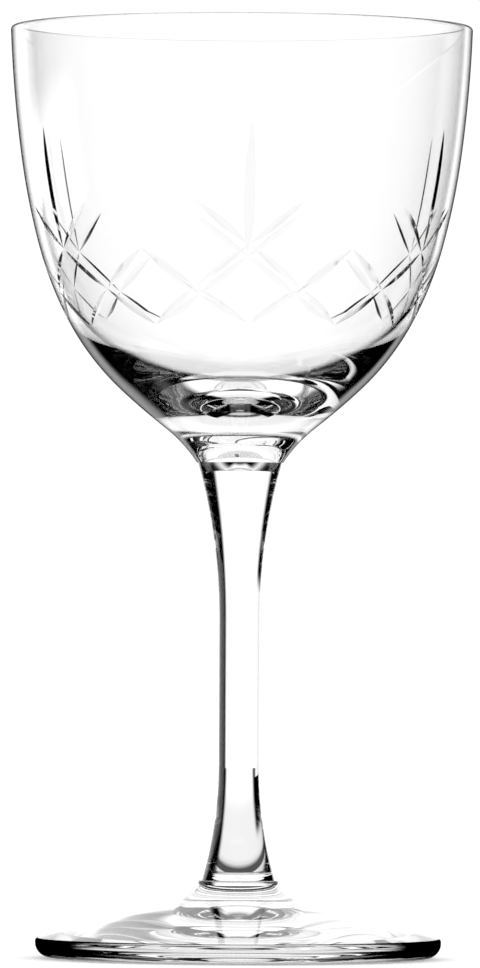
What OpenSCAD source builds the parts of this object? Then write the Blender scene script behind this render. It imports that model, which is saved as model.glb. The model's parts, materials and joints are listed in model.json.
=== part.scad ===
// Nick and nora glass: a small stemmed cocktail glass in clear crystal.
// Three pieces of glass are fused in line on the Z axis: the bowl, the drawn stem and the foot.
// The origin is the middle of the foot's underside, +Z is up, and lengths are millimetres.

/* [Overall] */
// Height of the whole glass, from the table to the lip
glass_h = 145; // [130:1:160]
// Width of the bowl across the lip
rim_d = 72; // [64:0.5:80]
// Width of the foot
foot_d = 63.2; // [56:0.2:72]

/* [Bowl] */
// Height of the bowl, from the seam on the stem to the lip
bowl_h = 68; // [60:0.5:74]
// Width of the bowl at the seam on the stem
bowl_neck_d = 13.4; // [12:0.1:15]
// Lean of the wall at the lip, from upright
rim_lean = 2.2; // [1:0.1:4]
// Thickness of the wall at the lip
lip_t = 1.25; // [0.9:0.05:1.8]
// Thickness of the wall at the shoulder, below the cuts
shoulder_t = 1.6; // [1.2:0.1:2.4]
// Solid glass under the bottom of the cup
button_t = 9; // [6:0.25:11]
// Lean of the cup's side where it turns into the floor, from upright
floor_lean = 47; // [42:1:54]

/* [Stem] */
// Width of the stem at its waist
waist_d = 6.26; // [5:0.02:8]
// Width of the stem at the seam under the bowl
stem_top_d = 13.1; // [11:0.1:14]
// Height of the upper flare, from the waist to the bowl
upper_flare_h = 24.5; // [18:0.5:30]
// Width of the stem at the seam on the foot
stem_heel_d = 11.3; // [9:0.1:13]
// Height of the lower flare, from the foot to the waist
lower_flare_h = 18; // [12:0.5:22]

/* [Foot] */
// Height of the foot, from the table to the seam on the stem
foot_h = 12; // [10:0.25:14]
// Height of the foot's upper face at its edge
edge_h = 3; // [2.4:0.1:4]
// Slope of the foot's upper face, from level
foot_slope = 15; // [10:0.5:18]
// Radius of the hollow curve that lifts the foot's upper face into the stem
fillet_r = 6; // [4:0.25:8]
// Radius of the edge where it turns under
under_r = 2.3; // [1.6:0.1:2.4]
// Radius of the edge where it meets the upper face
upper_r = 0.5; // [0.3:0.05:0.6]
// Width of the flat ring that the glass rests on
rest_w = 3; // [1.5:0.25:5]
// Height of the hollow under the foot, at its middle
punt_h = 3.2; // [1:0.1:4]
// How far the weld collar stands out past the stem's heel
collar_proud = 0.6; // [0.4:0.05:0.8]
// Radius of the weld collar's section
collar_r = 0.6; // [0.4:0.05:0.8]

/* [Cuts] */
// Number of motifs round the bowl
motifs = 6; // [4:1:8]
// Width of the diagonal cuts at their middle
cut_w = 1.25; // [0.8:0.05:1.5]
// Included angle of the wheel that grinds the diagonal cuts
cut_v = 142; // [134:1:150]
// Width of the vertical splits at their middle
split_w = 1.4; // [0.8:0.05:1.5]
// Included angle of the wheel that grinds the vertical splits
split_v = 142; // [134:1:150]
// Turn of the first motif from the front of the glass
first_motif = 0; // [-30:0.5:30]

/* [Hidden] */
$fn = 240;

// Overrun of every cut past the glass that it removes
overrun = 0.5;
// Most that a turned outline bends at one point, in degrees
arc_step = 3;

// Seams, and the radii that go with the named widths
neck_z = glass_h - bowl_h;
rim_r = rim_d / 2;
neck_r = bowl_neck_d / 2;
waist_r = waist_d / 2;
stem_top_r = stem_top_d / 2;
heel_r = stem_heel_d / 2;
foot_r = foot_d / 2;
lip_r = lip_t / 2;

// Stations down the bowl's outer wall: share of the lip's radius, share of the bowl's height
bowl_shares = [[0.952, 0.7], [0.876, 0.5], [0.7515, 0.33], [0.514, 0.165], [0.3255, 0.08]];
// Wall at the first of those stations: share of the way from the lip's wall to the shoulder's
wall_shares = [0.15, 0.45, 1];

// Straight stretches along the path of a cut
cut_steps = 12;
// How far the path runs on past each end of the cut, as a share of its length
run_out_share = 0.04;
// How late the cut fades out towards its ends
fade_power = 3;
// Heights of the cut band's points, as shares of the bowl's height
low_share = 0.306;
diamond_top_share = 0.476;
arm_top_share = 0.582;
split_low_share = 0.48;
split_top_share = 0.757;
// How far a long diagonal runs past its crossing, as a share of the turn between motifs
arm_share = 0.252;
// The wheel was held by hand, so each motif drifts a little: share of the turn between motifs
drift_shares = [0.043, 0.07, -0.08, -0.033, -0.01, -0.027];

// Turned outlines
// A station is [radius, height, lean]. Lean is the wall's angle from upright, in degrees, and is
// positive where the piece narrows on its way down. Each stretch between stations is one arc.
function arc_radius(a, b) = (a[1] - b[1]) / (sin(b[2]) - sin(a[2]));
function arc_centre(a, b) = [a[0] - arc_radius(a, b) * cos(a[2]), a[1] + arc_radius(a, b) * sin(a[2])];
function is_arc(a, b) = abs(a[2] - b[2]) > 0.01 && abs(a[1] - b[1]) > 0;

// Points below station a, down to and including station b; and all points below the first station
function arc_points(a, b) =
    let (n = is_arc(a, b) ? ceil(abs(b[2] - a[2]) / arc_step) : 1)
    n == 1
        ? [[b[0], b[1]]]
        : [
            for (i = [1 : n])
            let (lean = a[2] + (b[2] - a[2]) * i / n)
            arc_centre(a, b) + arc_radius(a, b) * [cos(lean), -sin(lean)]
        ];
function below(s) = [for (i = [0 : len(s) - 2]) each arc_points(s[i], s[i + 1])];
function reverse(points) = [for (i = [len(points) - 1 : -1 : 0]) points[i]];

// Solid piece turned on the Z axis, from its top station down
module turned(s) {
    top = s[0];
    bottom = s[len(s) - 1];
    rotate_extrude() {
        polygon(concat([[0, top[1]], [top[0], top[1]]], below(s), [[0, bottom[1]]]));
    }
}

// Leans that make a chain of tangent arcs through the points, from the lean at the first one
function chord_lean(p, q) = atan2(p[0] - q[0], p[1] - q[1]);
function tangent_chain(points, lean, i = 0) =
    i == len(points) - 1
        ? [[points[i][0], points[i][1], lean]]
        : concat(
            [[points[i][0], points[i][1], lean]],
            tangent_chain(points, 2 * chord_lean(points[i], points[i + 1]) - lean, i + 1)
        );

// Round lip, and the two walls that leave it side by side
lip_mid = [rim_r - lip_r, glass_h - lip_r];
lip_side = lip_r * [cos(rim_lean), -sin(rim_lean)];
lip_top = [lip_mid[0], glass_h];

// Outer wall of the bowl, from the lip down
bowl_wall = tangent_chain(
    concat(
        [lip_mid + lip_side],
        [for (s = bowl_shares) [rim_r * s[0], neck_z + bowl_h * s[1]]],
        [[neck_r, neck_z]]
    ),
    rim_lean
);

// Inner wall: the outer one moved in by the wall's thickness, square to it
function wall_t(i) = lip_t + (shoulder_t - lip_t) * wall_shares[i - 1];
function moved_in(s, t) = [s[0] - t * cos(s[2]), s[1] + t * sin(s[2])];
cup_side = tangent_chain(
    concat(
        [lip_mid - lip_side],
        [for (i = [1 : len(wall_shares)]) moved_in(bowl_wall[i], wall_t(i))]
    ),
    rim_lean
);

// Round bottom of the cup: a side arc and a floor arc, tangent to the wall, to each other and to level
side_end = cup_side[len(cup_side) - 1];
floor_z = neck_z + button_t;
turn_r = cos(side_end[2]) - cos(floor_lean);
turn_z = sin(floor_lean) - sin(side_end[2]);
floor_arc_r = (turn_z * side_end[0] - turn_r * (side_end[1] - floor_z))
    / (turn_z * cos(floor_lean) - turn_r * (1 - sin(floor_lean)));
floor_arc_z = floor_z + floor_arc_r;
floor_start = [floor_arc_r * cos(floor_lean), floor_arc_z - floor_arc_r * sin(floor_lean), floor_lean];
cup_wall = concat(cup_side, [floor_start, [0, floor_z, 90]]);

// Bowl before it is cut: one section, down the outer wall to the axis and up the inner wall
module blank() {
    outer = concat([[lip_top[0], lip_top[1], -90]], bowl_wall);
    inner = concat([[lip_top[0], lip_top[1], 90]], cup_wall);
    rotate_extrude() {
        polygon(concat([lip_top], below(outer), [[0, neck_z]], reverse(below(inner))));
    }
}

// Cuts
// Radius of the outer wall at a height, and the wall's lean there
function stretch(z, i = 0) = i == len(bowl_wall) - 2 || z >= bowl_wall[i + 1][1] ? i : stretch(z, i + 1);
function side_centre(z) = let (i = stretch(z)) arc_centre(bowl_wall[i], bowl_wall[i + 1]);
function side_radius(z) = let (i = stretch(z)) arc_radius(bowl_wall[i], bowl_wall[i + 1]);
function side_lean(z) = asin((side_centre(z)[1] - z) / side_radius(z));
function side_r(z) = side_centre(z)[0] + side_radius(z) * cos(side_lean(z));

// A place on the outer wall is [turn, height]; turn 0 faces the front, -Y
function on_wall(p) = [side_r(p[1]) * sin(p[0]), -side_r(p[1]) * cos(p[0]), p[1]];
function wall_normal(p) =
    let (lean = side_lean(p[1]))
    [cos(lean) * sin(p[0]), -cos(lean) * cos(p[0]), -sin(lean)];
function unit(v) = v / norm(v);

// A cut runs from p to q on the wall. The wheel stands square to the wall halfway, so on a leaning wall
// the cut sags there below the straight line, on which height and turn would change evenly.
function along(p, q) = unit(on_wall(q) - on_wall(p));
function outward(p, q) =
    let (n = wall_normal((p + q) / 2), d = along(p, q))
    unit(n - (n * d) * d);
function sag(p, q) =
    let (z = (p[1] + q[1]) / 2)
    side_r(z) * (1 - cos((q[0] - p[0]) / 2)) * sin(side_lean(z)) * cos(side_lean(z));
function cut_place(p, q, t) = p + t * (q - p) - [0, 4 * t * (1 - t) * sag(p, q)];
function fade(t) = 1 - pow(abs(2 * t - 1), fade_power);

// Cut with the V of the wheel, w wide, that follows the wall and fades out at both ends. Each section
// of it is a triangle: the point of the V, and the two ends of its arms outside the wall.
module cut(p, q, w, v_angle) {
    depth = w / 2 / tan(v_angle / 2);
    v = depth + overrun;
    rise = v * outward(p, q);
    side = v * tan(v_angle / 2) * cross(outward(p, q), along(p, q));
    path = [
        for (i = [0 : cut_steps])
        let (t = (1 + 2 * run_out_share) * i / cut_steps - run_out_share, at = cut_place(p, q, t))
        on_wall(at) - depth * fade(t) * wall_normal(at)
    ];
    last = 3 * cut_steps;
    polyhedron(
        [for (c = path) each [c, c + rise + side, c + rise - side]],
        concat(
            [[0, 1, 2], [last + 2, last + 1, last]],
            [
                for (i = [0 : cut_steps - 1], j = [0 : 2])
                let (a = 3 * i + j, b = 3 * i + (j + 1) % 3)
                [b, a, a + 3, b + 3]
            ]
        )
    );
}
module diagonal(p, q) {
    cut(p, q, cut_w, cut_v);
}

// Band of cuts. Each motif is a split over a crossing of two long diagonals, whose lower ends are
// shared with the motifs beside it; two short diagonals close the diamonds between the motifs.
pitch = 360 / motifs;
function motif_turn(k) =
    first_motif + pitch * (k + drift_shares[(k + len(drift_shares)) % len(drift_shares)]);
function between(k) = (motif_turn(k) + motif_turn(k + 1)) / 2;
function band_z(share) = neck_z + bowl_h * share;
module cut_band() {
    for (k = [0 : motifs - 1]) {
        here = motif_turn(k);
        left = between(k - 1);
        right = between(k);
        arm = pitch * arm_share;
        cut([here, band_z(split_low_share)], [here, band_z(split_top_share)], split_w, split_v);
        diagonal([left, band_z(low_share)], [here + arm, band_z(arm_top_share)]);
        diagonal([right, band_z(low_share)], [here - arm, band_z(arm_top_share)]);
        diagonal([here, band_z(low_share)], [left, band_z(diamond_top_share)]);
        diagonal([here, band_z(low_share)], [right, band_z(diamond_top_share)]);
    }
}

// The three pieces
module bowl() {
    color("aliceblue") {
        difference() {
            blank();
            cut_band();
        }
    }
}

// Lean at the end of an arc that leaves upright and widens by dr over the height h
function flare_lean(dr, h) = 2 * atan(dr / h);
module stem() {
    color("lightcyan") {
        turned([
            [stem_top_r, neck_z, flare_lean(stem_top_r - waist_r, upper_flare_h)],
            [waist_r, neck_z - upper_flare_h, 0],
            [waist_r, foot_h + lower_flare_h, 0],
            [heel_r, foot_h, -flare_lean(heel_r - waist_r, lower_flare_h)]
        ]);
    }
}

// Upper face of the foot: the fillet leaves the seam, runs into the cone, and the cone ends at the edge
cone_lean = foot_slope - 90;
cone_low = [foot_r - upper_r * (1 - sin(foot_slope)), edge_h];
seam_over_cone = (heel_r - cone_low[0]) * sin(foot_slope) + (foot_h - cone_low[1]) * cos(foot_slope);
seam_run = sqrt(2 * fillet_r * seam_over_cone - seam_over_cone * seam_over_cone);
seam_along_cone = (cone_low[0] - heel_r) * cos(foot_slope) + (foot_h - cone_low[1]) * sin(foot_slope);
cone_length = seam_along_cone - seam_run;
cone_top = cone_low + cone_length * [-cos(foot_slope), sin(foot_slope)];
fillet_lean = cone_lean + acos((fillet_r - seam_over_cone) / fillet_r);

// Hollow under the foot: the cap of a ball, out to the flat resting ring
punt_r = foot_r - under_r - rest_w;
punt_ball_r = (punt_r * punt_r + punt_h * punt_h) / (2 * punt_h);

module foot() {
    color("lightblue") {
        difference() {
            union() {
                turned([
                    [heel_r, foot_h, fillet_lean],
                    [cone_top[0], cone_top[1], cone_lean],
                    [cone_low[0], cone_low[1], cone_lean],
                    [foot_r, cone_low[1] - upper_r * cos(foot_slope), 0],
                    [foot_r, under_r, 0],
                    [foot_r - under_r, 0, 90]
                ]);
                collar();
            }
            translate([0, 0, punt_h - punt_ball_r]) sphere(r = punt_ball_r);
        }
    }
}

// Collar of glass squeezed out where the stem was fused on, level with the seam on top
module collar() {
    rotate_extrude() {
        intersection() {
            translate([heel_r + collar_proud - collar_r, foot_h - collar_r / 2]) circle(r = collar_r);
            translate([0, foot_h - 2 * collar_r]) square([foot_r, 2 * collar_r]);
        }
    }
}

bowl();
stem();
foot();
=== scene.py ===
import json
import logging
import math
from collections.abc import Callable, Iterable
from dataclasses import dataclass, field
from enum import Enum

import bpy
import numpy as np
from mathutils import Matrix, Vector

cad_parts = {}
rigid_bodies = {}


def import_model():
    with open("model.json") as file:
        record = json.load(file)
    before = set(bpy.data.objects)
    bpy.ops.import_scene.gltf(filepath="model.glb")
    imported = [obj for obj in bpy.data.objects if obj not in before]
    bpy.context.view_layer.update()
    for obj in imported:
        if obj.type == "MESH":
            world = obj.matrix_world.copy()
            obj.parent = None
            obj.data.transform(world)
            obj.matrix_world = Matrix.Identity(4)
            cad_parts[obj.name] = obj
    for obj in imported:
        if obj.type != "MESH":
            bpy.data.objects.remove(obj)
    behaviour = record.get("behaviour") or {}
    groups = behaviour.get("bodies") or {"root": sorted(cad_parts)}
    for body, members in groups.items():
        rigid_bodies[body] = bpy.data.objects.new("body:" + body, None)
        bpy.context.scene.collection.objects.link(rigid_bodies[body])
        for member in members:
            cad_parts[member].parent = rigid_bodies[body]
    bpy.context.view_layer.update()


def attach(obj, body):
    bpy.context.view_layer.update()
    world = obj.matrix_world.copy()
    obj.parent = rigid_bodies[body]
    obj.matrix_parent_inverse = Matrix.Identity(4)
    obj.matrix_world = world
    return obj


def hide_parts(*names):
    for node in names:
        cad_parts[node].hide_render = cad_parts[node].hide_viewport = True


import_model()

LOG = logging.getLogger("nick_and_nora_glass")
MM = 0.001
Colour = tuple[float, float, float, float]
Pair = tuple[float, float]
Finishes = list[bpy.types.Material]
# Light crosses the walls and the cuts many times before it leaves the glass.
GLASS_BOUNCES = 32
GLOSSY_BOUNCES = 16
# A difference of height or radius this small, in mm, is none, and so is one of lean, in degrees.
NO_LENGTH = 1e-9
NO_BEND = 0.01


def linear(code: str) -> Colour:
    """Turns an sRGB hex colour into the linear colour that shaders take.

    Args:
        code: Colour as "#rrggbb".

    Returns:
        Linear red, green and blue, and an alpha of 1.
    """
    parts = [int(code[i:i + 2], 16) / 255 for i in (1, 3, 5)]
    r, g, b = [c / 12.92 if c <= 0.04045 else ((c + 0.055) / 1.055) ** 2.4 for c in parts]
    return r, g, b, 1.0


def add_node(tree: bpy.types.NodeTree, kind: str, values: dict | None = None, links: dict | None = None,
             **settings: object) -> bpy.types.Node:
    """Adds one node with its settings, socket values and incoming links.

    Args:
        tree: Node tree that takes the node.
        kind: Node type, without its "ShaderNode" prefix.
        values: Value of each input socket that isn't linked, by name or index.
        links: Output socket that feeds each linked input, by name or index.
        settings: Attributes of the node itself.

    Returns:
        The new node.
    """
    node = tree.nodes.new("ShaderNode" + kind)
    for name, value in settings.items():
        setattr(node, name, value)
    for key, value in (values or {}).items():
        node.inputs[key].default_value = value
    for key, socket in (links or {}).items():
        tree.links.new(socket, node.inputs[key])
    return node


def bare_material(name: str) -> bpy.types.Material:
    """Makes a material with nothing in its node tree yet.

    Args:
        name: Name of the material.

    Returns:
        The material.
    """
    made = bpy.data.materials.new(name)
    made.use_nodes = True
    made.node_tree.nodes.clear()
    return made


def new_mesh(name: str, verts: Iterable, faces: Iterable) -> bpy.types.Mesh:
    """Makes a mesh.

    Args:
        name: Name of the mesh.
        verts: Place of each vertex, in metres.
        faces: Vertices of each face.

    Returns:
        The mesh.
    """
    mesh = bpy.data.meshes.new(name)
    mesh.from_pydata(verts, [], faces)
    mesh.update()
    return mesh


def put(name: str, data: bpy.types.ID | None) -> bpy.types.Object:
    """Puts a new object into the scene.

    Args:
        name: Name of the object.
        data: Its mesh or camera, or nothing for a bare point.

    Returns:
        The object.
    """
    made = bpy.data.objects.new(name, data)
    bpy.context.scene.collection.objects.link(made)
    return made


def read_all(items: bpy.types.bpy_prop_collection, name: str, kind: type, wide: int = 1) -> np.ndarray:
    """Reads one property of all parts of a mesh.

    Args:
        items: The mesh's vertices, corners or faces.
        name: The property.
        kind: Number type of the property.
        wide: How many numbers the property has.

    Returns:
        One row for each part, or a plain row of numbers where wide is 1.
    """
    values = np.empty(len(items) * wide, kind)
    items.foreach_get(name, values)
    return values if wide == 1 else values.reshape(-1, wide)


class Surface(Enum):
    """How a face of the glass was made, and where a dark outline is painted; the value is its material slot.
    """

    # Melted smooth
    WALL = 0
    # Ground by a wheel
    CUT = 1
    # Fused to the next piece
    SEAM = 2
    # Melted smooth, with a painted dark outline where the surface is seen at a slant
    PAINTED_OUTLINE = 3


@dataclass(frozen=True)
class Crystal:
    """Clear crystal whose surface waves by a faint pattern; sizes in mm.

    Each finer layer of the pattern has the fade's share of the height of the one before. Where the crystal has
    an edge, black is painted in where the surface is seen at a slant, as a painted dark outline: none below
    the first of the two Facing values, and all of it past the second.
    """

    name: str
    tint: str
    roughness: float
    pattern_mm: float
    pattern_height: float
    pattern_detail: float
    pattern_fade: float
    ior: float = 1.52
    # Facing values between which the painted dark outline fades in; None paints none
    edge: Pair | None = None

    def material(self) -> bpy.types.Material:
        """Makes the material.

        Returns:
            The material, which bends light as crystal does.
        """
        made = bare_material(self.name)
        tree = made.node_tree
        place = add_node(tree, "TexCoord")
        noise = add_node(tree, "TexNoise",
                         {"Scale": 1 / (self.pattern_mm * MM), "Detail": self.pattern_detail,
                          "Roughness": self.pattern_fade},
                         {"Vector": place.outputs["Object"]})
        bump = add_node(tree, "Bump", {"Strength": 1.0, "Distance": self.pattern_height * MM},
                        {"Height": noise.outputs[0]})
        glass = add_node(tree, "BsdfPrincipled",
                         {"Base Color": linear(self.tint), "Roughness": self.roughness, "IOR": self.ior,
                          "Transmission Weight": 1.0},
                         {"Normal": bump.outputs[0]})
        # Painted dark outline: black diffuse mixed in by Facing where the surface is seen at a slant
        if self.edge:
            facing = add_node(tree, "LayerWeight", {"Blend": 0.5})
            share = add_node(tree, "MapRange", {"From Min": self.edge[0], "From Max": self.edge[1]},
                             {"Value": facing.outputs["Facing"]}, interpolation_type="SMOOTHSTEP")
            dark = add_node(tree, "BsdfDiffuse", {"Color": linear("#000000")})
            glass = add_node(tree, "MixShader",
                             links={0: share.outputs[0], 1: glass.outputs[0], 2: dark.outputs[0]})
        add_node(tree, "OutputMaterial", links={"Surface": glass.outputs[0]})
        return made


@dataclass(frozen=True)
class FirePolishedCrystal(Crystal):
    """Crystal whose skin was melted smooth in the flame, as on every wall of the glass."""

    # Mirror-bright and colourless; a long, faint ripple from working it hot bends what shows through.
    name: str = "crystal_fire_polished"
    tint: str = "#ffffff"
    roughness: float = 0.0
    pattern_mm: float = 14.0
    pattern_height: float = 0.004
    pattern_detail: float = 1.0
    pattern_fade: float = 0.4


@dataclass(frozen=True)
class WheelCutCrystal(Crystal):
    """Crystal ground by a stone wheel and polished after it."""

    # Bright, but a shade greyer and softer than the wall beside it, with the wheel's lines still in it. Real
    # ones lie about 0.1 mm apart; 0.3 mm is the finest that shows.
    name: str = "crystal_wheel_cut"
    tint: str = "#f0f1f0"
    roughness: float = 0.12
    pattern_mm: float = 0.3
    pattern_height: float = 0.0015
    pattern_detail: float = 2.0
    pattern_fade: float = 0.5


@dataclass(frozen=True)
class FusedSeam:
    """Face where two gathers of crystal were fused hot."""

    # Shows nothing: glass goes on behind it, so every ray passes unbent.
    name: str = "crystal_fused_seam"

    def material(self) -> bpy.types.Material:
        """Makes the material.

        Returns:
            The material, which is wholly clear.
        """
        made = bare_material(self.name)
        clear = add_node(made.node_tree, "BsdfPrincipled", {"Base Color": linear("#ffffff"), "Alpha": 0.0})
        add_node(made.node_tree, "OutputMaterial", links={"Surface": clear.outputs[0]})
        return made


@dataclass(frozen=True)
class GlassFinishes:
    """The finishes of the glass."""

    plain: FirePolishedCrystal = FirePolishedCrystal()
    cut: WheelCutCrystal = WheelCutCrystal()
    seam: FusedSeam = FusedSeam()
    # Painted dark outline round the bowl: black painted in where its thin wall is seen at a slant.
    bowl_painted_outline: FirePolishedCrystal = FirePolishedCrystal("crystal_bowl_painted_dark_outline", edge=(0.72, 0.95))
    # Painted dark outline on the foot's thick edge, black where seen at a slant, towards both ends and along
    # its top.
    foot_painted_outline: FirePolishedCrystal = FirePolishedCrystal("crystal_foot_painted_dark_outline", edge=(0.28, 0.45))

    def materials(self) -> dict[str, Finishes]:
        """Makes the materials.

        Returns:
            Those of each CAD node, in the order of Surface.
        """
        shared = [finish.material() for finish in (self.plain, self.cut, self.seam)]
        return {"bowl": [*shared, self.bowl_painted_outline.material()], "stem": shared,
                "foot": [*shared, self.foot_painted_outline.material()]}


@dataclass(frozen=True)
class Station:
    """Place on a turned outline, in mm, with the wall's lean from upright in degrees.

    The lean is positive where the piece narrows on its way down.
    """

    r: float
    z: float
    lean: float

    def moved_in(self, by: float) -> "Station":
        """Gives the place that far inside, square to the wall."""
        turn = math.radians(self.lean)
        return Station(self.r - by * math.cos(turn), self.z + by * math.sin(turn), self.lean)


@dataclass(frozen=True)
class Arc:
    """Arc between two stations of an outline."""

    a: Station
    b: Station

    @property
    def straight(self) -> bool:
        """Tells whether the stretch is a straight line."""
        return abs(self.a.lean - self.b.lean) < NO_BEND or abs(self.a.z - self.b.z) < NO_LENGTH

    @property
    def radius(self) -> float:
        """Signed radius; negative where the wall is hollow."""
        a, b = math.radians(self.a.lean), math.radians(self.b.lean)
        return (self.a.z - self.b.z) / (math.sin(b) - math.sin(a))

    @property
    def centre(self) -> Pair:
        """Centre of the arc, as radius and height."""
        turn = math.radians(self.a.lean)
        return self.a.r - self.radius * math.cos(turn), self.a.z + self.radius * math.sin(turn)

    def at_lean(self, lean: float) -> Station:
        """Finds a place on the arc.

        Args:
            lean: Its lean, in degrees.

        Returns:
            The place that has this lean.
        """
        turn = math.radians(lean)
        cr, cz = self.centre
        return Station(cr + self.radius * math.cos(turn), cz - self.radius * math.sin(turn), lean)

    def places(self, step: float, reach: float) -> list[Station]:
        """Splits the arc.

        Args:
            step: Most that the outline bends from place to place, in degrees.
            reach: Most that two places lie apart, in mm.

        Returns:
            The places after a, down to b.
        """
        if self.straight:
            dr, dz = self.b.r - self.a.r, self.b.z - self.a.z
            n = max(1, math.ceil(math.hypot(dr, dz) / reach))
            return [Station(self.a.r + dr * i / n, self.a.z + dz * i / n, self.b.lean)
                    for i in range(1, n + 1)]
        bend = abs(self.b.lean - self.a.lean)
        n = max(math.ceil(bend / step), math.ceil(abs(self.radius) * math.radians(bend) / reach))
        return [self.at_lean(self.a.lean + (self.b.lean - self.a.lean) * i / n) for i in range(1, n + 1)]


def tangent_chain(points: list[Pair], lean: float) -> list[Station]:
    """Runs a chain of tangent arcs through points.

    Args:
        points: Radius and height of each, from the top down.
        lean: Lean at the first point, in degrees.

    Returns:
        The points with their leans.
    """
    chain = [Station(*points[0], lean)]
    for (ra, za), (rb, zb) in zip(points, points[1:]):
        lean = 2 * math.degrees(math.atan2(ra - rb, za - zb)) - lean
        chain.append(Station(rb, zb, lean))
    return chain


def smooth_run(stations: list[Station], step: float = 1.5, reach: float = 1.2) -> list[Station]:
    """Fills in the arcs between stations.

    Args:
        stations: Ends of the arcs, from the top down.
        step: Most that the outline bends from place to place, in degrees.
        reach: Most that two places lie apart, in mm.

    Returns:
        Every place of the run, with the stations among them.
    """
    run = [stations[0]]
    for a, b in zip(stations, stations[1:]):
        run += Arc(a, b).places(step, reach)
    return run


@dataclass(frozen=True)
class Skin:
    """One smooth run of a turned piece, and how it was made.

    A row holds radius and height, in mm, and the normal that points out of the glass there, as its outward
    and its upward part.
    """

    rows: np.ndarray
    surface: Surface = Surface.WALL

    @classmethod
    def outer(cls, run: list[Station], surface: Surface = Surface.WALL) -> "Skin":
        """Makes the skin of an outside wall from its run."""
        leans = [math.radians(s.lean) for s in run]
        return cls(np.array([(s.r, s.z, math.cos(a), -math.sin(a)) for s, a in zip(run, leans)]), surface)

    @classmethod
    def inner(cls, run: list[Station], surface: Surface = Surface.WALL) -> "Skin":
        """Makes the skin of the cup's wall, which faces the axis.

        Args:
            run: Places of the wall, from the top down.
            surface: How it was made.

        Returns:
            The skin, which climbs.
        """
        rows = cls.outer(run).rows[::-1].copy()
        rows[:, 2:] *= -1
        return cls(rows, surface)

    @classmethod
    def level(cls, r0: float, r1: float, z: float, up: float, surface: Surface = Surface.WALL) -> "Skin":
        """Makes a level ring or disc.

        Args:
            r0: Radius where the section reaches it, in mm.
            r1: Radius where the section leaves it, in mm.
            z: Its height, in mm.
            up: 1 where it faces up, -1 where it faces down.
            surface: How it was made.

        Returns:
            The skin.
        """
        return cls(np.array([(r0, z, 0.0, up), (r1, z, 0.0, up)]), surface)


@dataclass(frozen=True)
class Corners:
    """Corners of a turned mesh; sizes in mm.

    Each is seen in the half-plane through the axis that it lies in, so its face's normal has an outward and
    an upward part.
    """

    face: np.ndarray
    cos: np.ndarray
    sin: np.ndarray
    radius: np.ndarray
    height: np.ndarray
    normal: np.ndarray

    @classmethod
    def of(cls, mesh: bpy.types.Mesh, axis_r: float = 1e-4) -> "Corners":
        """Reads the corners of a mesh.

        Args:
            mesh: The turned mesh.
            axis_r: Radius up to which a corner lies on the axis, in the half-plane of its face's middle.

        Returns:
            The corners.
        """
        totals = read_all(mesh.polygons, "loop_total", np.int32)
        order = np.argsort(read_all(mesh.polygons, "loop_start", np.int32))
        face = np.repeat(order, totals[order])
        spots = read_all(mesh.vertices, "co", np.float32, 3)
        spots = spots[read_all(mesh.loops, "vertex_index", np.int32)].astype(float) / MM
        middle = np.zeros((len(totals), 3))
        np.add.at(middle, face, spots)
        middle /= totals[:, None]
        swing = np.arctan2(middle[face, 1], middle[face, 0])
        radius = np.hypot(spots[:, 0], spots[:, 1])
        safe = np.maximum(radius, NO_LENGTH)
        cos = np.where(radius > axis_r, spots[:, 0] / safe, np.cos(swing))
        sin = np.where(radius > axis_r, spots[:, 1] / safe, np.sin(swing))
        facing = read_all(mesh.polygons, "normal", np.float32, 3)[face].astype(float)
        normal = np.stack([facing[:, 0] * cos + facing[:, 1] * sin, facing[:, 2]], 1)
        return cls(face, cos, sin, radius, spots[:, 2], normal)


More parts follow.
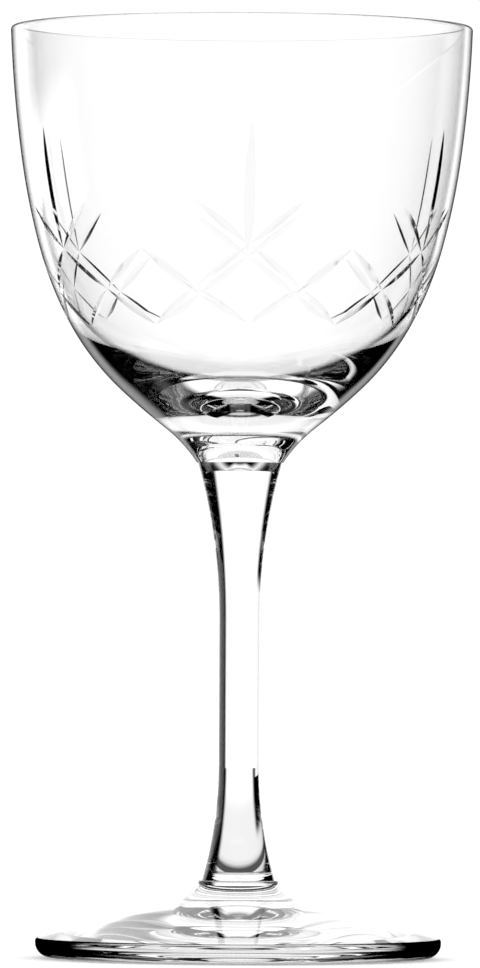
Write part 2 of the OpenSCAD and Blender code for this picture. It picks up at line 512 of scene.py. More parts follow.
@dataclass
class Lathe:
    """Turns skins on the Z axis into a closed mesh, and gives every wall its true round normals.

    Two places of a section are one where they agree to so many digits of a mm. A corner belongs to a skin no
    further off than the slack, in mm, and the wheel cut a face that bends from the turned form by more than
    the sharp angle, in degrees. Of two skins that fit alike, to within a tie, the nearer one counts.
    """

    skins: list[Skin]
    segments: int = 288
    digits: int = 6
    slack: float = 0.02
    sharp: float = 8.0
    tie: float = 1e-4

    def mesh(self, name: str, finishes: Finishes) -> bpy.types.Mesh:
        """Builds the mesh in metres.

        Args:
            name: Name of the mesh.
            finishes: Materials in the order of Surface.

        Returns:
            The mesh, with the material of each face's Surface.
        """
        turn = np.arange(self.segments) * 2 * np.pi / self.segments
        cos, sin = np.cos(turn), np.sin(turn)
        places: dict[Pair, list[int]] = {}
        verts: list[tuple[float, float, float]] = []

        def ring(r: float, z: float) -> list[int]:
            """Gives the ring of vertices at a place, which is made once.

            Args:
                r: Radius in mm.
                z: Height in mm.

            Returns:
                Its vertices in turn, or the one vertex over and over where the ring is a point on the axis.
            """
            key = (round(r, self.digits), round(z, self.digits))
            if key not in places:
                start = len(verts)
                if key[0] == 0:
                    verts.append((0.0, 0.0, z * MM))
                    places[key] = [start] * self.segments
                else:
                    verts.extend((r * c * MM, r * s * MM, z * MM) for c, s in zip(cos, sin))
                    places[key] = list(range(start, start + self.segments))
            return places[key]

        faces: list[tuple[int, ...]] = []
        slots: list[int] = []
        for skin in self.skins:
            for (ra, za, *_), (rb, zb, *_) in zip(skin.rows, skin.rows[1:]):
                top, low = ring(ra, za), ring(rb, zb)
                for j in range(self.segments):
                    k = (j + 1) % self.segments
                    faces.append(tuple(dict.fromkeys((top[j], low[j], low[k], top[k]))))
                    slots.append(skin.surface.value)
        made = new_mesh(name, verts, faces)
        for finish in finishes:
            made.materials.append(finish)
        made.polygons.foreach_set("material_index", slots)
        return made

    def fit(self, corners: Corners) -> tuple[np.ndarray, np.ndarray]:
        """Finds the skin that each corner belongs to.

        Args:
            corners: Corners of the mesh.

        Returns:
            How well the skin's normal agrees with the face's, as a cosine, and the skin's normal there.
        """
        radius, height = corners.radius, corners.height
        best, near = np.full(radius.shape, -np.inf), np.full(radius.shape, np.inf)
        wanted = np.zeros((len(radius), 2))
        order = np.argsort(height)
        for skin in self.skins:
            for a, b in zip(skin.rows, skin.rows[1:]):
                reach = (min(a[1], b[1]) - self.slack, max(a[1], b[1]) + self.slack)
                first, last = np.searchsorted(height, reach, sorter=order)
                at = order[first:last]
                step = b[:2] - a[:2]
                share = ((radius[at] - a[0]) * step[0] + (height[at] - a[1]) * step[1]) / (step @ step)
                share = np.clip(share, 0, 1)
                gap = np.hypot(a[0] + share * step[0] - radius[at], a[1] + share * step[1] - height[at])
                normal = a[2:] + share[:, None] * (b[2:] - a[2:])
                normal /= np.linalg.norm(normal, axis=1)[:, None]
                match = (normal * corners.normal[at]).sum(1)
                ahead, level = match > best[at] + self.tie, match > best[at] - self.tie
                better = (gap < self.slack) & (ahead | (level & (gap < near[at])))
                at = at[better]
                best[at], near[at], wanted[at] = match[better], gap[better], normal[better]
        return best, wanted

    def true_normals(self, mesh: bpy.types.Mesh) -> None:
        """Gives every corner of a wall the normal of the turned form, and marks what the wheel cut.

        Args:
            mesh: The turned mesh, as built or after cutting.
        """
        mesh.shade_smooth()
        mesh.set_sharp_from_angle(angle=math.radians(self.sharp))
        normals = read_all(mesh.corner_normals, "vector", np.float32, 3)
        corners = Corners.of(mesh)
        agree, wanted = self.fit(corners)
        slots = read_all(mesh.polygons, "material_index", np.int32)
        on_wall = np.ones(slots.shape, bool)
        np.logical_and.at(on_wall, corners.face, agree > math.cos(math.radians(self.sharp)))
        wall = on_wall[corners.face]
        round_normals = np.stack([wanted[:, 0] * corners.cos, wanted[:, 0] * corners.sin, wanted[:, 1]], 1)
        normals[wall] = round_normals[wall]
        slots[~on_wall] = Surface.CUT.value
        mesh.polygons.foreach_set("material_index", slots)
        mesh.normals_split_custom_set([tuple(n) for n in normals])
        LOG.info("%s: %d faces, %d of them cut", mesh.name, len(slots), int((~on_wall).sum()))


def stand_for(mesh: bpy.types.Mesh, node: str) -> bpy.types.Object:
    """Puts a finished mesh in the place of its CAD node.

    Args:
        mesh: The piece's mesh, in its materials.
        node: CAD node that the piece stands for.

    Returns:
        The piece, which rides on the one body of the glass.
    """
    piece = put(mesh.name, mesh)
    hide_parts(node)
    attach(piece, "root")
    return piece


@dataclass(frozen=True)
class CutPath:
    """Path of one cut on the wall, between two places given as turn from the front and height.

    The wheel stands square to the wall halfway, so on a leaning wall the cut sags there below the straight
    line, on which height and turn would change evenly. So many halvings find where two paths cross.
    """

    p: Pair
    q: Pair
    side: Callable[[float], Station]
    halvings: int = 30

    def on_wall(self, turn: float, z: float) -> Vector:
        """Gives the point of the outer wall at a turn and a height, in mm."""
        a, r = math.radians(turn), self.side(z).r
        return Vector((r * math.sin(a), -r * math.cos(a), z))

    def normal(self, turn: float, z: float) -> Vector:
        """Gives the outer wall's normal at a turn and a height."""
        a, lean = math.radians(turn), math.radians(self.side(z).lean)
        return Vector((math.cos(lean) * math.sin(a), -math.cos(lean) * math.cos(a), -math.sin(lean)))

    @property
    def middle(self) -> Pair:
        """Turn and height midway between the ends."""
        return (self.p[0] + self.q[0]) / 2, (self.p[1] + self.q[1]) / 2

    @property
    def along(self) -> Vector:
        """Direction from the first end to the second."""
        return (self.on_wall(*self.q) - self.on_wall(*self.p)).normalized()

    @property
    def outward(self) -> Vector:
        """Direction out through the wall, square to the cut."""
        n, d = self.normal(*self.middle), self.along
        return (n - n.dot(d) * d).normalized()

    @property
    def sag(self) -> float:
        """Drop of the cut's middle below the straight line.

        Returns:
            The drop in mm.
        """
        side = self.side(self.middle[1])
        lean = math.radians(side.lean)
        half_turn = math.radians((self.q[0] - self.p[0]) / 2)
        return side.r * (1 - math.cos(half_turn)) * math.sin(lean) * math.cos(lean)

    def share_at(self, turn: float) -> float:
        """Share of the way from the first end to the second at a turn."""
        return (turn - self.p[0]) / (self.q[0] - self.p[0])

    def place(self, share: float) -> Pair:
        """Turn and height at a share of the way from the first end to the second."""
        turn, z = (p + share * (q - p) for p, q in zip(self.p, self.q))
        return turn, z - 4 * share * (1 - share) * self.sag

    def bottom(self, share: float, depth: float) -> Vector:
        """Gives the bottom of the cut.

        Args:
            share: Share of the way from the first end to the second.
            depth: Depth of the bottom under the wall there, in mm.

        Returns:
            The point, in mm.
        """
        place = self.place(share)
        return self.on_wall(*place) - depth * self.normal(*place)

    def crossing(self, other: "CutPath") -> Pair:
        """Finds where another path crosses this one.

        Args:
            other: Path that leans the other way and crosses this one once.

        Returns:
            Turn and height of the crossing.
        """
        def over(turn: float) -> float:
            """Gives how far this path is above the other at a turn."""
            return self.place(self.share_at(turn))[1] - other.place(other.share_at(turn))[1]

        low = max(min(self.p[0], self.q[0]), min(other.p[0], other.q[0]))
        high = min(max(self.p[0], self.q[0]), max(other.p[0], other.q[0]))
        start = over(low)
        for _ in range(self.halvings):
            middle = (low + high) / 2
            low, high = (middle, high) if over(middle) * start > 0 else (low, middle)
        return self.place(self.share_at(low))


@dataclass(frozen=True)
class Wheel:
    """Stone wheel with a V edge, and the solid that it grinds out of the wall; sizes in mm.

    The V opens by its angle, and the cut is full width at its middle. The solid stands proud of the wall by
    the overrun, and runs on past both ends of the path by a share of its length. The higher the fade power,
    the later the cut fades out.
    """

    v_angle: float
    width: float
    overrun: float = 0.5
    steps: int = 48
    run_out_share: float = 0.04
    fade_power: float = 3.0

    @property
    def slant(self) -> float:
        """Half width of the V for each mm of its depth."""
        return math.tan(math.radians(self.v_angle / 2))

    def depth(self, share: float) -> float:
        """Depth of the cut, which is full at its middle and fades out at both ends.

        Args:
            share: Share of the way from the first end to the second.

        Returns:
            The depth in mm; past the ends it is less than nothing, so the wheel is off the wall.
        """
        full = self.width / 2 / self.slant
        return full * (1 - abs(2 * share - 1) ** self.fade_power)

    def sweep(self, name: str, path: CutPath) -> bpy.types.Object:
        """Runs the wheel along the path.

        Args:
            name: Name of the solid.
            path: Path of the cut.

        Returns:
            What the wheel grinds away, as a closed solid.
        """
        v = self.depth(0.5) + self.overrun
        rise = v * path.outward
        side = v * self.slant * path.outward.cross(path.along)
        verts: list[Vector] = []
        for i in range(self.steps + 1):
            share = (1 + 2 * self.run_out_share) * i / self.steps - self.run_out_share
            bottom = path.bottom(share, self.depth(share))
            verts += [bottom * MM, (bottom + rise + side) * MM, (bottom + rise - side) * MM]
        last = 3 * self.steps
        faces: list[tuple[int, ...]] = [(2, 1, 0), (last, last + 1, last + 2)]
        for start in range(0, last, 3):
            for j in range(3):
                k = (j + 1) % 3
                faces.append((start + j, start + k, start + 3 + k, start + 3 + j))
        return bpy.data.objects.new(name, new_mesh(name, verts, faces))


@dataclass
class CutBand:
    """Band of cuts round the bowl: splits over crossed diagonals, with diamonds between them.

    Heights are shares of the bowl's height. Sideways, the arms reach and the motifs drift by shares of the
    turn from motif to motif.
    """

    motifs: int = 6
    diagonal: Wheel = Wheel(v_angle=142, width=1.25, steps=24, run_out_share=0.02, fade_power=2.0)
    split: Wheel = Wheel(v_angle=142, width=1.4)
    low_share: float = 0.306
    diamond_top_share: float = 0.476
    arm_top_share: float = 0.582
    split_low_share: float = 0.48
    split_top_share: float = 0.757
    arm_share: float = 0.252
    drift_shares: tuple[float, ...] = (0.043, 0.07, -0.08, -0.033, -0.01, -0.027)

    @property
    def pitch(self) -> float:
        """Turn from motif to motif, in degrees."""
        return 360 / self.motifs

    def turn(self, k: int) -> float:
        """Turn of a motif, with the drift of a hand-held wheel."""
        return self.pitch * (k + self.drift_shares[k % len(self.drift_shares)])

    def between(self, k: int) -> float:
        """Turn midway between a motif and the next."""
        return (self.turn(k) + self.turn(k + 1)) / 2

    def solids(self, side: Callable[[float], Station],
               height: Callable[[float], float]) -> list[bpy.types.Object]:
        """Makes everything that the wheels grind away.

        Args:
            side: Gives the outer wall's place at a height.
            height: Height on the glass for a share of the bowl's height.

        Returns:
            One solid for each cut.
        """
        low, diamond_top = height(self.low_share), height(self.diamond_top_share)
        arm_top, arm = height(self.arm_top_share), self.pitch * self.arm_share
        made = []
        for k in range(self.motifs):
            here = self.turn(k)
            split = CutPath((here, height(self.split_low_share)), (here, height(self.split_top_share)), side)
            made.append(self.split.sweep(f"split_{k}", split))
            mates = {}
            for hand, beside in ((1, self.between(k - 1)), (-1, self.between(k))):
                mates[hand] = (CutPath((beside, low), (here + hand * arm, arm_top), side),
                               CutPath((here, low), (beside, diamond_top), side))
            middle = mates[1][0].crossing(mates[-1][0])
            for hand, (long, short) in mates.items():
                pinch = long.crossing(short)
                strokes = [(long.p, pinch), (pinch, middle), (middle, long.q), (short.p, pinch),
                           (pinch, short.q)]
                for n, (p, q) in enumerate(strokes):
                    made.append(self.diagonal.sweep(f"diagonal_{k}_{hand}_{n}", CutPath(p, q, side)))
        return made


@dataclass(frozen=True)
class Seams:
    """Heights of the two fused seams, and how wide the stem is there, in mm."""

    neck_z: float = 77.0
    stem_top_d: float = 13.1
    foot_z: float = 12.0
    heel_d: float = 11.3


@dataclass
class Bowl:
    """Blown cup with its lip, cut band and the solid button under the cup; sizes in mm and leans in degrees.

    The wall goes through places given as shares of the rim's radius and of the bowl's height. It thickens
    from the lip to the shoulder, by a share at each of the upper places.
    """

    seams: Seams = Seams()
    glass_h: float = 145.0
    rim_d: float = 72.0
    neck_d: float = 13.4
    rim_lean: float = 2.2
    lip_t: float = 1.25
    lip_step: float = 8.0
    shoulder_t: float = 1.6
    button_t: float = 9.0
    floor_lean: float = 47.0
    place_shares: tuple[Pair, ...] = ((0.952, 0.7), (0.876, 0.5), (0.7515, 0.33), (0.514, 0.165),
                                      (0.3255, 0.08))
    wall_shares: tuple[float, ...] = (0.15, 0.45, 1.0)
    cuts: CutBand = field(default_factory=CutBand)

    def __post_init__(self) -> None:
        """Works out both walls from the sizes."""
        self.neck_z = self.seams.neck_z
        self.height = self.glass_h - self.neck_z
        rim_r, lip_r = self.rim_d / 2, self.lip_t / 2
        lean = math.radians(self.rim_lean)
        mid_r, mid_z = rim_r - lip_r, self.glass_h - lip_r
        side_r, side_z = lip_r * math.cos(lean), -lip_r * math.sin(lean)
        self.lip_r = mid_r
        outside = [(mid_r + side_r, mid_z + side_z)]
        outside += [(rim_r * a, self.level(b)) for a, b in self.place_shares]
        self.wall = tangent_chain(outside + [(self.neck_d / 2, self.neck_z)], self.rim_lean)
        inside = [(mid_r - side_r, mid_z - side_z)]
        for station, share in zip(self.wall[1:], self.wall_shares):
            moved = station.moved_in(self.lip_t + (self.shoulder_t - self.lip_t) * share)
            inside.append((moved.r, moved.z))
        self.cup = tangent_chain(inside, self.rim_lean)
        self.cup += self.cup_floor(self.cup[-1])

    def level(self, share: float) -> float:
        """Height on the glass for a share of the bowl's height."""
        return self.neck_z + self.height * share

    def cup_floor(self, end: Station) -> list[Station]:
        """Closes the cup with a side arc and a floor arc, tangent to each other and to level.

        Args:
            end: Last station of the cup's wall.

        Returns:
            Where the floor arc starts, and the middle of the floor.
        """
        floor_z = self.neck_z + self.button_t
        a, b = math.radians(end.lean), math.radians(self.floor_lean)
        turn_r, turn_z = math.cos(a) - math.cos(b), math.sin(b) - math.sin(a)
        arc_r = turn_z * end.r - turn_r * (end.z - floor_z)
        arc_r /= turn_z * math.cos(b) - turn_r * (1 - math.sin(b))
        return [Station(arc_r * math.cos(b), floor_z + arc_r - arc_r * math.sin(b), self.floor_lean),
                Station(0.0, floor_z, 90.0)]

    def side(self, z: float) -> Station:
        """Finds a place on the outer wall.

        Args:
            z: Its height on the glass, in mm.

        Returns:
            The place.
        """
        for a, b in zip(self.wall, self.wall[1:]):
            if z >= b.z:
                break
        arc = Arc(a, b)
        return arc.at_lean(math.degrees(math.asin((arc.centre[1] - z) / arc.radius)))

    def lathe(self) -> Lathe:
        """Sets up the blank before it is cut.

        Returns:
            Its lathe, with skins up the cup, over the lip, down the wall and across the seam.
        """
        cup_lip = smooth_run([Station(self.lip_r, self.glass_h, 90.0), self.cup[0]], self.lip_step)
        wall_lip = smooth_run([Station(self.lip_r, self.glass_h, -90.0), self.wall[0]], self.lip_step)
        floor_start = len(self.wall_shares)
        stem_r = self.seams.stem_top_d / 2
        return Lathe([
            # The cup's floor and the outer wall carry the painted dark outline.
            Skin.inner(smooth_run(self.cup[floor_start:]), Surface.PAINTED_OUTLINE),
            Skin.inner(cup_lip + smooth_run(self.cup[:floor_start + 1])[1:]),
            Skin.outer(wall_lip + smooth_run(self.wall)[1:], Surface.PAINTED_OUTLINE),
            Skin.level(self.neck_d / 2, stem_r, self.neck_z, -1),
            Skin.level(stem_r, 0, self.neck_z, -1, Surface.SEAM)])

    def build(self, finishes: Finishes) -> bpy.types.Object:
        """Turns the blank and grinds the band of cuts into it.

        Args:
            finishes: Materials in the order of Surface.

        Returns:
            The bowl.
        """
        lathe = self.lathe()
        blank = put("bowl_blank", lathe.mesh("bowl_blank", finishes))
        bench = bpy.data.collections.new("wheels")
        for solid in self.cuts.solids(self.side, self.level):
            bench.objects.link(solid)
        bpy.context.scene.collection.children.link(bench)
        grind = blank.modifiers.new("grind", "BOOLEAN")
        grind.operation = "DIFFERENCE"
        grind.operand_type = "COLLECTION"
        grind.solver = "MANIFOLD"
        grind.collection = bench
        cut = bpy.data.meshes.new_from_object(blank.evaluated_get(bpy.context.evaluated_depsgraph_get()))
        cut.name = "bowl_glass"
        for solid in list(bench.objects):
            bpy.data.objects.remove(solid)
        bpy.data.collections.remove(bench)
        bpy.data.objects.remove(blank)
        lathe.true_normals(cut)
        # The wheels' solids bring an empty slot with them.
        while len(cut.materials) > len(finishes):
            cut.materials.pop()
        return stand_for(cut, "bowl")


@dataclass
class Stem:
    """Drawn rod, flared at both ends; sizes in mm."""

    seams: Seams = Seams()
    waist_d: float = 6.26
    upper_flare_h: float = 24.5
    lower_flare_h: float = 18.0

    @staticmethod
    def flare_lean(dr: float, h: float) -> float:
        """Gives the lean at the end of an arc that leaves upright and widens by dr over the height h."""
        return 2 * math.degrees(math.atan(dr / h))

    def build(self, finishes: Finishes) -> bpy.types.Object:
        """Turns the stem.

        Args:
            finishes: Materials in the order of Surface.

        Returns:
            The stem.
        """
        top_r, waist_r, heel_r = self.seams.stem_top_d / 2, self.waist_d / 2, self.seams.heel_d / 2
        top_z, heel_z = self.seams.neck_z, self.seams.foot_z
        wall = smooth_run([
            Station(top_r, top_z, self.flare_lean(top_r - waist_r, self.upper_flare_h)),
            Station(waist_r, top_z - self.upper_flare_h, 0.0),
            Station(waist_r, heel_z + self.lower_flare_h, 0.0),
            Station(heel_r, heel_z, -self.flare_lean(heel_r - waist_r, self.lower_flare_h))])
        lathe = Lathe([Skin.level(0, top_r, top_z, 1, Surface.SEAM), Skin.outer(wall),
                       Skin.level(heel_r, 0, heel_z, -1, Surface.SEAM)])
        mesh = lathe.mesh("stem_glass", finishes)
        lathe.true_normals(mesh)
        return stand_for(mesh, "stem")


@dataclass
class Foot:
    """Disc with its weld collar on top, round edge and hollowed underside; sizes in mm and leans in degrees.

    The collar's middle lies under the seam by a share of its radius. The painted dark outline of the edge ends
    at the rim's lean.
    """

    seams: Seams = Seams()
    width: float = 63.2
    edge_h: float = 3.0
    slope: float = 15.0
    cone_reach: float = 1.5
    fillet_r: float = 6.0
    under_r: float = 2.3
    upper_r: float = 0.5
    rest_w: float = 3.0
    punt_h: float = 3.2
    punt_places: int = 30
    collar_proud: float = 0.6
    collar_r: float = 0.6
    collar_sunk_share: float = 0.5
    collar_places: int = 16
    rim_lean: float = 50.0

    def __post_init__(self) -> None:
        """Works out where the foot and its collar meet the stem."""
        self.height, self.heel_r = self.seams.foot_z, self.seams.heel_d / 2
        self.collar_mid_r = self.heel_r + self.collar_proud - self.collar_r
        self.collar_mid_z = self.height - self.collar_r * self.collar_sunk_share

    def upper_face(self) -> list[Station]:
        """Works out the top of the foot.

        Returns:
            Ends of the fillet under the seam, of the cone and of the round edge, from the top down.
        """
        rim_r, heel_r, slope = self.width / 2, self.heel_r, math.radians(self.slope)
        cone_lean = self.slope - 90
        low_r, low_z = rim_r - self.upper_r * (1 - math.sin(slope)), self.edge_h
        over = (heel_r - low_r) * math.sin(slope) + (self.height - low_z) * math.cos(slope)
        run = math.sqrt(2 * self.fillet_r * over - over * over)
        length = (low_r - heel_r) * math.cos(slope) + (self.height - low_z) * math.sin(slope) - run
        lean = cone_lean + math.degrees(math.acos((self.fillet_r - over) / self.fillet_r))
        return [
            Station(heel_r, self.height, lean),
            Station(low_r - length * math.cos(slope), low_z + length * math.sin(slope), cone_lean),
            Station(low_r, low_z, cone_lean),
            Station(rim_r, low_z - self.upper_r * math.cos(slope), 0.0),
            Station(rim_r, self.under_r, 0.0),
            Station(rim_r - self.under_r, 0.0, 90.0)]

    def collar_end(self, fillet: Arc) -> Pair:
        """Finds where the weld collar meets the fillet.

        Args:
            fillet: Arc of the fillet.

        Returns:
            Lean of the collar there, and lean of the fillet there.
        """
        middle, other = complex(self.collar_mid_r, self.collar_mid_z), complex(*fillet.centre)
        apart = other - middle
        gap = abs(apart)
        share = (gap * gap + self.collar_r ** 2 - fillet.radius ** 2) / (2 * gap)
        off = math.sqrt(self.collar_r ** 2 - share * share)
        meet = middle + apart / gap * (share - 1j * off)
        on_collar, on_fillet = meet - middle, meet - other
        return (math.degrees(math.atan2(-on_collar.imag, on_collar.real)),
                math.degrees(math.atan2(on_fillet.imag, -on_fillet.real)))

    def collar(self, end: float) -> list[Station]:
        """Works out the weld collar.

        Args:
            end: Lean of the collar where it meets the fillet.

        Returns:
            Its places, from the top down.
        """
        leans = np.linspace(-math.degrees(math.asin(self.collar_sunk_share)), end, self.collar_places)
        return [Station(self.collar_mid_r, self.collar_mid_z, lean).moved_in(-self.collar_r)
                for lean in leans]

    def punt(self, punt_r: float) -> Skin:
        """Works out the hollow of the underside, a cap of a ball.

        Args:
            punt_r: Radius of its edge, in mm.

        Returns:
            Its skin, from the edge to the middle.
        """
        ball_r = (punt_r ** 2 + self.punt_h ** 2) / (2 * self.punt_h)
        low = self.punt_h - ball_r
        angles = np.linspace(math.asin(punt_r / ball_r), 0, self.punt_places)
        return Skin(np.array([(ball_r * math.sin(a), low + ball_r * math.cos(a), -math.sin(a), -math.cos(a))
                              for a in angles]))

    def build(self, finishes: Finishes) -> bpy.types.Object:
        """Turns the foot.

        Args:
            finishes: Materials in the order of Surface.

        Returns:
            The foot.
        """
        face = self.upper_face()
        fillet = Arc(face[0], face[1])
        collar_lean, fillet_lean = self.collar_end(fillet)
        collar = self.collar(collar_lean)
        cone = smooth_run([fillet.at_lean(fillet_lean), *face[1:3]], reach=self.cone_reach)
        rim_end = Arc(*face[4:]).at_lean(self.rim_lean)
        punt_r = self.width / 2 - self.under_r - self.rest_w
        lathe = Lathe([
            Skin.level(0, self.heel_r, self.height, 1, Surface.SEAM),
            Skin.level(self.heel_r, collar[0].r, self.height, 1),
            Skin.outer(collar),
            Skin.outer(cone),
            # The top round and side of the edge carry the painted dark outline, down to the rim's lean.
            Skin.outer(smooth_run([*face[2:5], rim_end]), Surface.PAINTED_OUTLINE),
            Skin.outer(smooth_run([rim_end, face[5]])),
            Skin.level(face[5].r, punt_r, 0.0, -1),
            self.punt(punt_r)])
        mesh = lathe.mesh("foot_glass", finishes)
        lathe.true_normals(mesh)
        return stand_for(mesh, "foot")


def ease(value: np.ndarray, start: float, end: float) -> np.ndarray:
    """Climbs smoothly from 0 at start to 1 at end, which may lie either way round."""
    share = np.clip((value - start) / (end - start), 0, 1)
    return share * share * (3 - 2 * share)


@dataclass(frozen=True)
class AcrylicFloor:
    """Cast sheet of white acrylic that the glass stands on."""

    # Pale and even, with no gloss. It glows a little, as a sheet lit through from below does.
    name: str = "acrylic_cast_white"
    tint: str = "#e8e8e8"
    roughness: float = 0.6
    glow: float = 0.3

    def material(self) -> bpy.types.Material:
        """Makes the material.

        Returns:
            The material.
        """
        made = bare_material(self.name)
        sheet = add_node(made.node_tree, "BsdfPrincipled",
                         {"Base Color": linear(self.tint), "Roughness": self.roughness,
                          "Specular IOR Level": 0.0, "Emission Color": linear("#ffffff"),
                          "Emission Strength": self.glow})
        add_node(made.node_tree, "OutputMaterial", links={"Surface": sheet.outputs[0]})
        return made


@dataclass(frozen=True)
class LitSheet:
    """White sheet under studio light, as bright at each vertex as its light there says."""

    # Gives the glass its whites and greys. A sheer one lets through what is behind it.
    name: str
    sheer: bool = False
    glow: float = 1.22

    def material(self) -> bpy.types.Material:
        """Makes the material.

        Returns:
            The material, which reads the light kept at the vertices.
        """
        made = bare_material(self.name)
        tree = made.node_tree
        kept = add_node(tree, "Attribute", attribute_name="light")
        power = add_node(tree, "Math", {1: self.glow}, {0: kept.outputs["Fac"]}, operation="MULTIPLY")
        shown = add_node(tree, "Emission", {"Color": linear("#ffffff")}, {"Strength": power.outputs[0]})
        if self.sheer:
            clear = add_node(tree, "BsdfTransparent", {"Color": linear("#ffffff")})
            shown = add_node(tree, "AddShader", links={0: shown.outputs[0], 1: clear.outputs[0]})
        add_node(tree, "OutputMaterial", links={"Surface": shown.outputs[0]})
        return made


@dataclass
class Studio:
    """Pale floor, white surroundings with dark sides out of the picture, and the camera; sizes in metres.

    Turns are degrees to the right of straight behind the glass, as the camera sees it, and heights of the
    tent are degrees above level. A pair is where a fade begins and ends, apart from the camera's clip, the
    tent's heights and the table's radii, which are limits.
    """

    # The photograph's view: the camera's distance and height, the height it aims at, how much height its
    # picture takes in at the glass, and its tilt in degrees
    distance: float = 1.5
    eye_h: float = 0.05
    aim_h: float = 0.0737
    view_h: float = 0.1508
    roll: float = 0.25
    sensor: float = 36.0
    clip: Pair = (0.05, 20.0)
    # What the camera sees behind the glass, and under it
    level: float = 1.06
    floor_r: float = 6.0
    floor_z: float = -0.0002
    floor_sides: int = 96
    floor_finish: AcrylicFloor = AcrylicFloor()
    # Faces across and up: the tent and the table, and the card
    round_faces: tuple[int, int] = (240, 60)
    card_faces: tuple[int, int] = (80, 24)
    # Tent: a soft white backdrop between two dark sides, which draw the glass's black lines, and a white roof
    # that is dark overhead
    tent_finish: LitSheet = LitSheet("nylon_woven_white")
    tent_r: float = 1.2
    tent_heights: Pair = (-45.0, 90.0)
    right_dark: Pair = (27.0, 35.0)
    left_dark: Pair = (-38.0, -50.0)
    roof: Pair = (52.0, 66.0)
    zenith_dark: Pair = (60.0, 74.0)
    # On the camera's side the roof reaches higher.
    rear: Pair = (120.0, 150.0)
    rear_zenith_dark: Pair = (76.0, 84.0)
    # Card: low and sheer, on the left where the backdrop ends; white where the glass looks low to the left
    card_finish: LitSheet = LitSheet("paper_card_coated_white", sheer=True)
    card_r: float = 0.5
    card_dark: Pair = (-78.0, -92.0)
    card_top: Pair = (0.095, 0.13)
    # Table: white where the glass looks down; wide on the left near the glass and narrow further off, and lit
    # in two steps towards the back
    table_finish: LitSheet = LitSheet("acrylic_cast_lit_white")
    table_z: float = -0.0001
    table_r: Pair = (0.008, 2.6)
    table_right_dark: Pair = (24.0, 32.0)
    table_left_dark: Pair = (-28.0, -38.0)
    table_open: Pair = (0.065, 0.095)
    table_near: Pair = (0.012, 0.034)
    table_far: Pair = (0.13, 0.3)
    table_near_share: float = 0.8
    # Ring of painted shadow on the table, standing for the shade that the foot throws round itself
    shade_in: Pair = (0.033, 0.037)
    shade_out: Pair = (0.047, 0.051)
    shade_share: float = 0.9

    def camera(self) -> bpy.types.Object:
        """Sets the camera at the photograph's viewing angle.

        Returns:
            The camera.
        """
        data = bpy.data.cameras.new("camera")
        data.sensor_fit = "AUTO"
        data.sensor_width = self.sensor
        eye, aim = Vector((0, -self.distance, self.eye_h)), Vector((0, 0, self.aim_h))
        data.lens = data.sensor_width / 2 / (self.view_h / 2 / (aim - eye).length)
        data.clip_start, data.clip_end = self.clip
        camera = put("camera", data)
        turn = (aim - eye).to_track_quat("-Z", "Y").to_matrix().to_4x4()
        roll = Matrix.Rotation(math.radians(self.roll), 4, "Z")
        camera.matrix_world = Matrix.Translation(eye) @ turn @ roll
        bpy.context.scene.camera = camera
        return camera

    def surroundings(self) -> None:
        """Puts white behind everything, as a lit paper backdrop does."""
        world = bpy.data.worlds.new("white_backdrop")
        world.use_nodes = True
        world.node_tree.nodes.clear()
        light = add_node(world.node_tree, "Background", {"Color": linear("#ffffff"), "Strength": self.level})
        add_node(world.node_tree, "OutputWorld", links={"Surface": light.outputs[0]})
        bpy.context.scene.world = world
        bpy.context.scene.view_settings.view_transform = "Standard"

    def floor(self) -> bpy.types.Object:
        """Lays the pale floor, which the camera sees and the glass doesn't.

        Returns:
            The floor.
        """
        turns, r = [2 * math.pi * i / self.floor_sides for i in range(self.floor_sides)], self.floor_r
        edge = [(r * math.cos(turn), r * math.sin(turn), self.floor_z) for turn in turns]
        mesh = new_mesh("floor", edge, [tuple(range(self.floor_sides))])
        mesh.materials.append(self.floor_finish.material())
        floor = put("floor", mesh)
        floor.visible_transmission = False
        floor.visible_glossy = False
        return floor

    def between(self, turn: np.ndarray, right: Pair, left: Pair) -> np.ndarray:
        """Brightness by turn: white straight behind, and dark past an edge on each side."""
        return (1 - ease(turn, *right)) * (1 - ease(turn, *left))

    def tent_light(self, turn: np.ndarray, height: np.ndarray) -> np.ndarray:
        """Lights the tent.

        Args:
            turn: Turns of its vertices.
            height: Their heights, in degrees.

        Returns:
            Brightness of each, from 0 to 1.
        """
        backdrop = self.between(turn, self.right_dark, self.left_dark)
        rear = ease(np.abs(turn), *self.rear)
        dark = (1 - rear) * ease(height, *self.zenith_dark) + rear * ease(height, *self.rear_zenith_dark)
        return (backdrop + (1 - backdrop) * ease(height, *self.roof)) * (1 - dark)

    def card_light(self, turn: np.ndarray, z: np.ndarray) -> np.ndarray:
        """Brightness of the card by turn and height; it takes over where the backdrop ends."""
        span = ease(turn, *self.left_dark) * (1 - ease(turn, *self.card_dark))
        return span * (1 - ease(z, *self.card_top))

    def table_light(self, turn: np.ndarray, radius: np.ndarray) -> np.ndarray:
        """Lights the table, which the glass shades beside itself.

        Args:
            turn: Turns of its vertices.
            radius: Their distances from the axis.

        Returns:
            Brightness of each, from 0 to 1.
        """
        back, near = radius * np.cos(np.radians(turn)), self.table_near_share
        lit = near * ease(back, *self.table_near) + (1 - near) * ease(back, *self.table_far)
        wide = self.between(turn, self.table_right_dark, self.card_dark)
        narrow = self.between(turn, self.table_right_dark, self.table_left_dark)
        shade = 1 - self.shade_share * ease(radius, *self.shade_in) * (1 - ease(radius, *self.shade_out))
        return lit * shade * (wide + (narrow - wide) * ease(radius, *self.table_open))

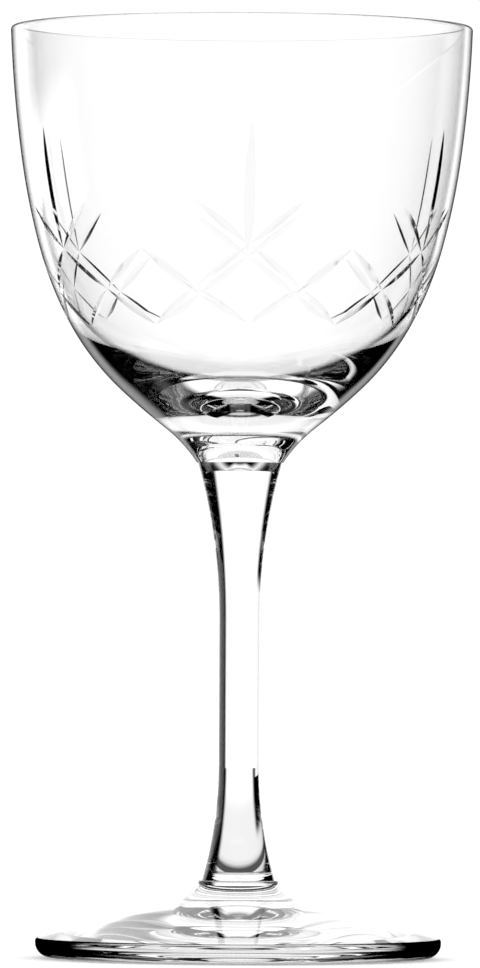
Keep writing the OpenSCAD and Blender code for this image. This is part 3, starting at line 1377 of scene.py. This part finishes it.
    def glowing(self, name: str, places: Iterable[np.ndarray], light: np.ndarray,
                finish: LitSheet) -> bpy.types.Object:
        """Makes a sheet that only the glass sees, in the arm's frame.

        Args:
            name: Name of the sheet.
            places: X, Y and Z of its vertices, each in rows.
            light: Brightness at each vertex, in the same rows.
            finish: Finish of the sheet.

        Returns:
            The sheet.
        """
        rows, row = light.shape
        faces = [(i * row + j, i * row + j + 1, (i + 1) * row + j + 1, (i + 1) * row + j)
                 for i in range(rows - 1) for j in range(row - 1)]
        mesh = new_mesh(name, np.stack([place.ravel() for place in places], 1).tolist(), faces)
        kept = mesh.attributes.new("light", "FLOAT", "POINT")
        kept.data.foreach_set("value", light.ravel().astype(np.float32))
        mesh.materials.append(finish.material())
        sheet = put(name, mesh)
        sheet.visible_camera = False
        sheet.visible_diffuse = False
        sheet.visible_shadow = False
        return sheet

    def tent(self) -> bpy.types.Object:
        """Makes the tent round the glass.

        Returns:
            The tent.
        """
        across, up = self.round_faces
        turn, height = np.meshgrid(np.linspace(-180, 180, across + 1),
                                   np.linspace(*self.tent_heights, up + 1))
        a, h, r = np.radians(turn), np.radians(height), self.tent_r
        places = r * (np.sin(a) * np.cos(h)), r * (np.cos(a) * np.cos(h)), r * np.sin(h)
        return self.glowing("tent", places, self.tent_light(turn, height), self.tent_finish)

    def card(self) -> bpy.types.Object:
        """Makes the low card on the left.

        Returns:
            The card.
        """
        across, up = self.card_faces
        turn, z = np.meshgrid(np.linspace(self.left_dark[0], self.card_dark[1], across + 1),
                              np.linspace(0, self.card_top[1], up + 1))
        a, r = np.radians(turn), self.card_r
        return self.glowing("card", (r * np.sin(a), r * np.cos(a), z), self.card_light(turn, z),
                            self.card_finish)

    def table(self) -> bpy.types.Object:
        """Makes the table top as the glass sees it.

        Returns:
            The table top.
        """
        across, up = self.round_faces
        turn, r = np.meshgrid(np.linspace(-180, 180, across + 1), np.geomspace(*self.table_r, up + 1))
        a, z = np.radians(turn), np.full(turn.shape, self.table_z)
        return self.glowing("table", (r * np.sin(a), r * np.cos(a), z), self.table_light(turn, r),
                            self.table_finish)

    def arm(self, camera: bpy.types.Object) -> bpy.types.Object:
        """Makes the arm that turns the tent, the card and the table with the camera.

        Args:
            camera: The camera that the arm faces.

        Returns:
            The arm, which stands on the axis of the glass.
        """
        arm = put("turning_arm", None)
        facing = arm.constraints.new("LOCKED_TRACK")
        facing.target = camera
        facing.track_axis, facing.lock_axis = "TRACK_NEGATIVE_Y", "LOCK_Z"
        return arm

    def build(self) -> None:
        """Sets up the whole studio."""
        self.surroundings()
        self.floor()
        arm = self.arm(self.camera())
        for sheet in (self.tent(), self.card(), self.table()):
            sheet.parent = arm


def plain(corners: Iterable[Vector]) -> list[list[float]]:
    """Gives corners as plain lists of numbers."""
    return [[float(value) for value in corner] for corner in corners]


def main() -> None:
    """Builds the studio and the three pieces of the glass, in order."""
    logging.basicConfig(level=logging.INFO, format="%(message)s")
    cycles = bpy.context.scene.cycles
    cycles.max_bounces = GLASS_BOUNCES
    cycles.transmission_bounces = GLASS_BOUNCES
    cycles.glossy_bounces = GLOSSY_BOUNCES
    Studio().build()
    LOG.info("studio ready")
    finishes = GlassFinishes().materials()
    seams = Seams()
    for node, maker in {"bowl": Bowl(seams), "stem": Stem(seams), "foot": Foot(seams)}.items():
        piece = maker.build(finishes[node])
        LOG.info("built %s", piece.name)


if __name__ == "__main__":
    main()
